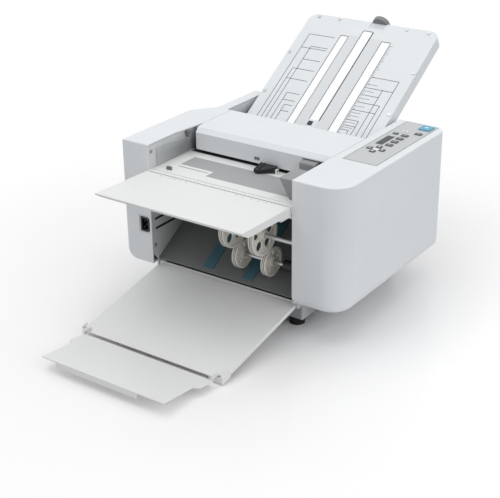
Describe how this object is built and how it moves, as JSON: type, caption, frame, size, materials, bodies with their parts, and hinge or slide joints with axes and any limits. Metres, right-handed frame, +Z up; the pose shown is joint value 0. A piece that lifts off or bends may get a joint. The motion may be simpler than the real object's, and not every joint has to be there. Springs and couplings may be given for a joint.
{
  "type": "paper folding machine",
  "caption": "desk paper folding machine with inclined feed table, buckle fold plates, rollers, control panel and folding delivery tray",
  "frame": {"origin": "on the desk, under the middle of the whole machine with its tray unfolded", "axes": "+X to the right as the operator faces the machine, +Y from the delivery tray at the front to the feed table at the back, +Z up"},
  "size_m": [0.562, 1.0645, 0.5264],
  "materials": {
    "aluminium": "plain extruded aluminium",
    "black_plastic": "black moulded plastic",
    "brass_bush": "sintered bronze bushes",
    "bright_steel": "ground steel",
    "case_white": "light warm-white moulded plastic, fine satin",
    "dark_plastic": "dark grey moulded plastic",
    "foot_rubber": "black rubber",
    "frame_grey": "grey powder-coated sheet",
    "gear_white": "natural acetal",
    "grey_plastic": "mid grey moulded plastic",
    "key_blue": "blue start button",
    "key_grey": "grey keys",
    "key_white": "white key",
    "motor_black": "black painted motor can",
    "pan_grey": "darker grey powder-coated sheet",
    "panel_grey": "pale grey panel",
    "plate_white": "white powder-coated sheet",
    "roller_rubber": "dark grey rubber",
    "strip_teal": "dark teal strips",
    "tray_white": "off-white powder-coated sheet",
    "wheel_cream": "cream moulded plastic",
    "window_dark": "dark display window",
    "zinc_screw": "zinc-plated screws"
  },
  "bodies": {
    "machine": {"base_pan": "pan_grey", "bearings": "brass_bush", "control_panel": "panel_grey", "cover_catch": "dark_plastic", "delivery_chute": "frame_grey", "display_window": "window_dark", "feed_table": "case_white", "feet": "foot_rubber", "front_fold_plate": "plate_white", "guide_strips": "strip_teal", "inner_guide": "plate_white", "left_cover": "case_white", "left_side_frame": "frame_grey", "left_wall_plate": "dark_plastic", "main_motor": "motor_black", "motor_mount": "frame_grey", "paper_sensor": "black_plastic", "power_inlet": "black_plastic", "rear_fold_plate": "frame_grey", "right_cover": "case_white", "right_side_block": "grey_plastic", "right_side_frame": "frame_grey", "screws": "zinc_screw", "stacker_motor": "black_plastic", "tie_bars": "bright_steel"},
    "menu_key_1": {"menu_key_1": "key_grey"},
    "menu_key_2": {"menu_key_2": "key_grey"},
    "menu_key_3": {"menu_key_3": "key_grey"},
    "menu_key_4": {"menu_key_4": "key_grey"},
    "program_key": {"program_key": "key_grey"},
    "counter_key": {"counter_key": "key_white"},
    "reset_key": {"reset_key": "key_grey"},
    "start_button": {"start_button": "key_blue"},
    "arrow_key_left": {"arrow_key_left": "key_grey"},
    "arrow_key_right": {"arrow_key_right": "key_grey"},
    "arrow_key_front": {"arrow_key_front": "key_grey"},
    "arrow_key_back": {"arrow_key_back": "key_grey"},
    "top_cover": {"top_cover": "case_white"},
    "release_lever": {"release_lever": "dark_plastic"},
    "fold_plate_latch": {"fold_plate_latch": "black_plastic"},
    "front_fold_stop": {"front_fold_stop": "aluminium"},
    "feed_roller": {"feed_roller": "roller_rubber"},
    "fold_roller_1": {"fold_roller_1": "roller_rubber", "fold_gear_1": "gear_white"},
    "fold_roller_2": {"fold_roller_2": "roller_rubber", "fold_gear_2": "gear_white"},
    "fold_roller_3": {"fold_roller_3": "roller_rubber", "fold_gear_3": "gear_white"},
    "fold_roller_4": {"fold_roller_4": "roller_rubber", "fold_gear_4": "gear_white"},
    "motor_pinion": {"motor_pinion": "gear_white"},
    "lower_stacker_shaft": {"lower_stacker_shaft": "bright_steel"},
    "upper_stacker_shaft": {"upper_stacker_shaft": "bright_steel"},
    "lower_wheel_inner": {"lower_wheel_inner": "wheel_cream"},
    "lower_wheel_outer": {"lower_wheel_outer": "wheel_cream"},
    "upper_wheel_inner": {"upper_wheel_inner": "wheel_cream"},
    "upper_wheel_outer": {"upper_wheel_outer": "wheel_cream"},
    "delivery_tray": {"delivery_tray": "tray_white"},
    "tray_extension": {"tray_extension": "tray_white"},
    "skew_knob": {"skew_knob": "grey_plastic"}
  },
  "joints": [
    {"name": "menu_key_1_press", "type": "slide", "parent": "machine", "child": "menu_key_1", "axis": [0, 0, 1], "range_m": [-0.0012, 0], "stiffness_N_per_m": 400, "springref_m": 0.001},
    {"name": "menu_key_2_press", "type": "slide", "parent": "machine", "child": "menu_key_2", "axis": [0, 0, 1], "range_m": [-0.0012, 0], "stiffness_N_per_m": 400, "springref_m": 0.001},
    {"name": "menu_key_3_press", "type": "slide", "parent": "machine", "child": "menu_key_3", "axis": [0, 0, 1], "range_m": [-0.0012, 0], "stiffness_N_per_m": 400, "springref_m": 0.001},
    {"name": "menu_key_4_press", "type": "slide", "parent": "machine", "child": "menu_key_4", "axis": [0, 0, 1], "range_m": [-0.0012, 0], "stiffness_N_per_m": 400, "springref_m": 0.001},
    {"name": "program_key_press", "type": "slide", "parent": "machine", "child": "program_key", "axis": [0, 0, 1], "range_m": [-0.0012, 0], "stiffness_N_per_m": 400, "springref_m": 0.001},
    {"name": "counter_key_press", "type": "slide", "parent": "machine", "child": "counter_key", "axis": [0, 0, 1], "range_m": [-0.0012, 0], "stiffness_N_per_m": 400, "springref_m": 0.001},
    {"name": "reset_key_press", "type": "slide", "parent": "machine", "child": "reset_key", "axis": [0, 0, 1], "range_m": [-0.0012, 0], "stiffness_N_per_m": 400, "springref_m": 0.001},
    {"name": "start_button_press", "type": "slide", "parent": "machine", "child": "start_button", "axis": [0, 0, 1], "range_m": [-0.0012, 0], "stiffness_N_per_m": 400, "springref_m": 0.001},
    {"name": "arrow_key_left_press", "type": "slide", "parent": "machine", "child": "arrow_key_left", "axis": [0, 0, 1], "range_m": [-0.0012, 0], "stiffness_N_per_m": 400, "springref_m": 0.001},
    {"name": "arrow_key_right_press", "type": "slide", "parent": "machine", "child": "arrow_key_right", "axis": [0, 0, 1], "range_m": [-0.0012, 0], "stiffness_N_per_m": 400, "springref_m": 0.001},
    {"name": "arrow_key_front_press", "type": "slide", "parent": "machine", "child": "arrow_key_front", "axis": [0, 0, 1], "range_m": [-0.0012, 0], "stiffness_N_per_m": 400, "springref_m": 0.001},
    {"name": "arrow_key_back_press", "type": "slide", "parent": "machine", "child": "arrow_key_back", "axis": [0, 0, 1], "range_m": [-0.0012, 0], "stiffness_N_per_m": 400, "springref_m": 0.001},
    {"name": "top_cover_hinge", "type": "hinge", "parent": "machine", "child": "top_cover", "pos_m": [-0.024, 0.1453, 0.34], "axis": [-1, 0, 0], "range_deg": [0, 70]},
    {"name": "release_lever_hinge", "type": "hinge", "parent": "machine", "child": "release_lever", "pos_m": [0.134, 0.0133, 0.331], "axis": [1, 0, 0], "range_deg": [0, 30]},
    {"name": "fold_plate_latch_hinge", "type": "hinge", "parent": "machine", "child": "fold_plate_latch", "pos_m": [0.013, -0.0057, 0.304], "axis": [-1, 0, 0], "range_deg": [0, 12]},
    {"name": "front_fold_stop_slide", "type": "slide", "parent": "machine", "child": "front_fold_stop", "axis": [0, 0.9996, -0.0279], "range_m": [-0.033, 0.085]},
    {"name": "feed_roller_spin", "type": "hinge", "parent": "machine", "child": "feed_roller", "pos_m": [-0.024, 0.14035, 0.30083], "axis": [1, 0, 0], "continuous": true},
    {"name": "fold_roller_1_spin", "type": "hinge", "parent": "machine", "child": "fold_roller_1", "pos_m": [-0.024, 0.0463, 0.3062], "axis": [1, 0, 0], "continuous": true},
    {"name": "fold_roller_2_spin", "type": "hinge", "parent": "machine", "child": "fold_roller_2", "pos_m": [-0.024, 0.0463, 0.2699], "axis": [1, 0, 0], "continuous": true},
    {"name": "fold_roller_3_spin", "type": "hinge", "parent": "machine", "child": "fold_roller_3", "pos_m": [-0.024, 0.01, 0.2699], "axis": [1, 0, 0], "continuous": true},
    {"name": "fold_roller_4_spin", "type": "hinge", "parent": "machine", "child": "fold_roller_4", "pos_m": [-0.024, 0.01, 0.2336], "axis": [1, 0, 0], "continuous": true},
    {"name": "motor_pinion_spin", "type": "hinge", "parent": "machine", "child": "motor_pinion", "pos_m": [-0.217, 0.01, 0.20345], "axis": [1, 0, 0], "continuous": true},
    {"name": "lower_stacker_spin", "type": "hinge", "parent": "machine", "child": "lower_stacker_shaft", "pos_m": [-0.024, -0.0937, 0.137], "axis": [1, 0, 0], "continuous": true},
    {"name": "upper_stacker_spin", "type": "hinge", "parent": "machine", "child": "upper_stacker_shaft", "pos_m": [-0.024, -0.1257, 0.211], "axis": [1, 0, 0], "continuous": true},
    {"name": "lower_wheel_inner_shift", "type": "slide", "parent": "lower_stacker_shaft", "child": "lower_wheel_inner", "axis": [1, 0, 0], "range_m": [-0.012, 0.04]},
    {"name": "lower_wheel_outer_shift", "type": "slide", "parent": "lower_stacker_shaft", "child": "lower_wheel_outer", "axis": [1, 0, 0], "range_m": [-0.015, 0.02]},
    {"name": "upper_wheel_inner_shift", "type": "slide", "parent": "upper_stacker_shaft", "child": "upper_wheel_inner", "axis": [1, 0, 0], "range_m": [-0.012, 0.04]},
    {"name": "upper_wheel_outer_shift", "type": "slide", "parent": "upper_stacker_shaft", "child": "upper_wheel_outer", "axis": [1, 0, 0], "range_m": [-0.015, 0.02]},
    {"name": "tray_hinge", "type": "hinge", "parent": "machine", "child": "delivery_tray", "pos_m": [-0.024, -0.11151, 0.06702], "axis": [-1, 0, 0], "range_deg": [0, 45]},
    {"name": "tray_extension_hinge", "type": "hinge", "parent": "delivery_tray", "child": "tray_extension", "pos_m": [-0.024, -0.37546, 0.02033], "axis": [-1, 0, 0], "range_deg": [0, 160]},
    {"name": "skew_knob_turn", "type": "hinge", "parent": "machine", "child": "skew_knob", "pos_m": [-0.009, 0.51174, 0.50308], "axis": [0, 0.8453, 0.5344], "range_deg": [-150, 150]}
  ],
  "couplings": [
    {"joint": "fold_roller_2_spin", "follows": "fold_roller_1_spin", "ratio": -1},
    {"joint": "fold_roller_3_spin", "follows": "fold_roller_1_spin", "ratio": 1},
    {"joint": "fold_roller_4_spin", "follows": "fold_roller_1_spin", "ratio": -1},
    {"joint": "motor_pinion_spin", "follows": "fold_roller_1_spin", "ratio": 1.5},
    {"joint": "lower_stacker_spin", "follows": "upper_stacker_spin", "ratio": -1.3939}
  ]
}
